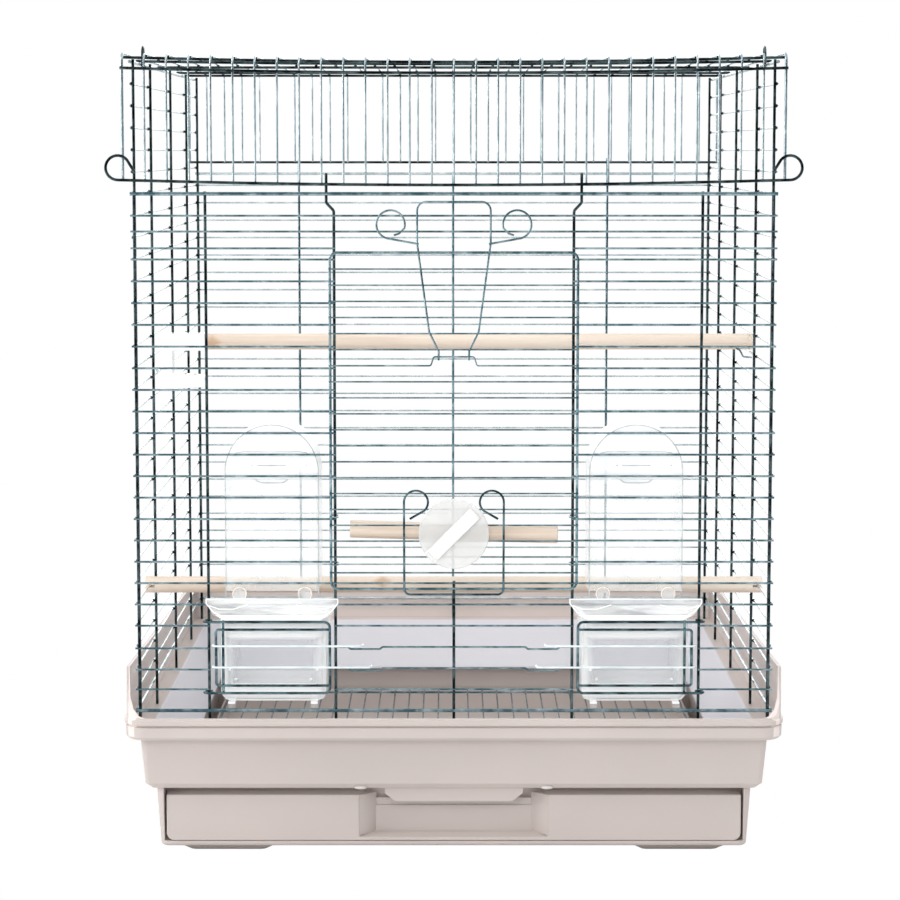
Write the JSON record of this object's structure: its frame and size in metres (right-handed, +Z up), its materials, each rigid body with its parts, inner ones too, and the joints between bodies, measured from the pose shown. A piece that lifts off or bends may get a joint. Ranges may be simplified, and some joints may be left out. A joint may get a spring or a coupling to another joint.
{
  "type": "bird cage",
  "caption": "Square wire bird cage with a lifting front door, hinged roof, swing-out feeder cups, wooden perches and a plastic base with a slide-out tray.",
  "frame": {"origin": "centre of the bounding box's bottom, on the floor under the feet", "axes": "+Z up, -Y out of the front with the door, +X to the right seen from the front"},
  "size_m": [0.482, 0.4757, 0.572],
  "materials": {
    "base_tub": "fine satin moulded",
    "drawer_housing": "fine satin moulded",
    "foot_front_left": "fine satin moulded",
    "foot_front_right": "fine satin moulded",
    "foot_back_left": "fine satin moulded",
    "foot_back_right": "fine satin moulded",
    "drawer": "fine satin moulded",
    "floor_grid": "bright plated wire",
    "front_panel": "bright plated wire",
    "left_panel": "bright plated wire",
    "right_panel": "bright plated wire",
    "back_panel": "bright plated wire",
    "left_feeder_cup": "clear moulded",
    "right_feeder_cup": "clear moulded",
    "left_feeder_hood": "clear moulded",
    "right_feeder_hood": "clear moulded",
    "lower_perch": "plain sanded",
    "upper_perch": "plain sanded",
    "perch_holder": "milky white",
    "roof_lid": "bright plated wire",
    "carry_handle": "bright plated wire",
    "front_door": "bright plated wire",
    "small_perch": "plain sanded",
    "perch_bolt": "clear moulded",
    "lock_disc": "clear moulded",
    "door_hook": "bright plated wire",
    "door_latch": "bright plated wire",
    "left_feeder_gate": "bright plated wire",
    "right_feeder_gate": "bright plated wire",
    "left_feeder_bail": "bright plated wire",
    "right_feeder_bail": "bright plated wire"
  },
  "bodies": {
    "base": {"base_tub": "base_tub", "drawer_housing": "drawer_housing", "foot_front_left": "foot_front_left", "foot_front_right": "foot_front_right", "foot_back_left": "foot_back_left", "foot_back_right": "foot_back_right"},
    "drawer": {"drawer": "drawer", "floor_grid": "floor_grid"},
    "wire_body": {"front_panel": "front_panel", "left_panel": "left_panel", "right_panel": "right_panel", "back_panel": "back_panel", "left_feeder_cup": "left_feeder_cup", "right_feeder_cup": "right_feeder_cup", "left_feeder_hood": "left_feeder_hood", "right_feeder_hood": "right_feeder_hood", "lower_perch": "lower_perch", "upper_perch": "upper_perch", "perch_holder": "perch_holder"},
    "lid": {"roof_lid": "roof_lid"},
    "handle": {"carry_handle": "carry_handle"},
    "door": {"front_door": "front_door", "small_perch": "small_perch", "perch_bolt": "perch_bolt"},
    "lock": {"lock_disc": "lock_disc"},
    "hook": {"door_hook": "door_hook"},
    "latch": {"door_latch": "door_latch"},
    "left_gate": {"left_feeder_gate": "left_feeder_gate"},
    "right_gate": {"right_feeder_gate": "right_feeder_gate"},
    "left_bail": {"left_feeder_bail": "left_feeder_bail"},
    "right_bail": {"right_feeder_bail": "right_feeder_bail"}
  },
  "joints": [
    {"name": "drawer_slide", "type": "slide", "parent": "base", "child": "drawer", "axis": [0, -1, 0], "range_m": [0, 0.3]},
    {"name": "body_lift", "type": "slide", "parent": "base", "child": "wire_body", "axis": [0, 0, 1], "range_m": [0, 0.1]},
    {"name": "lid_hinge", "type": "hinge", "parent": "wire_body", "child": "lid", "pos_m": [0, 0.23084, 0.4877], "axis": [-1, 0, 0], "range_deg": [0, 110]},
    {"name": "handle_hinge", "type": "hinge", "parent": "lid", "child": "handle", "pos_m": [0, 0.00544, 0.5617], "axis": [1, 0, 0], "range_deg": [0, 170]},
    {"name": "door_lift", "type": "slide", "parent": "wire_body", "child": "door", "axis": [0, 0, 1], "range_m": [0, 0.19]},
    {"name": "lock_turn", "type": "hinge", "parent": "door", "child": "lock", "pos_m": [0, -0.22526, 0.23249], "axis": [0, 1, 0], "continuous": true},
    {"name": "hook_hinge", "type": "hinge", "parent": "door", "child": "hook", "pos_m": [0, -0.22426, 0.35566], "axis": [1, 0, 0], "range_deg": [0, 120]},
    {"name": "latch_hinge", "type": "hinge", "parent": "wire_body", "child": "latch", "pos_m": [0, -0.22636, 0.1897], "axis": [1, 0, 0], "range_deg": [0, 150]},
    {"name": "left_gate_hinge", "type": "hinge", "parent": "wire_body", "child": "left_gate", "pos_m": [-0.172, -0.21506, 0.1434], "axis": [0, 0, -1], "range_deg": [0, 90]},
    {"name": "right_gate_hinge", "type": "hinge", "parent": "wire_body", "child": "right_gate", "pos_m": [0.172, -0.21506, 0.1434], "axis": [0, 0, 1], "range_deg": [0, 90]},
    {"name": "left_bail_hinge", "type": "hinge", "parent": "left_gate", "child": "left_bail", "pos_m": [-0.1668, -0.21856, 0.1434], "axis": [0, 0, -1], "range_deg": [0, 80]},
    {"name": "right_bail_hinge", "type": "hinge", "parent": "right_gate", "child": "right_bail", "pos_m": [0.1668, -0.21856, 0.1434], "axis": [0, 0, 1], "range_deg": [0, 80]}
  ]
}
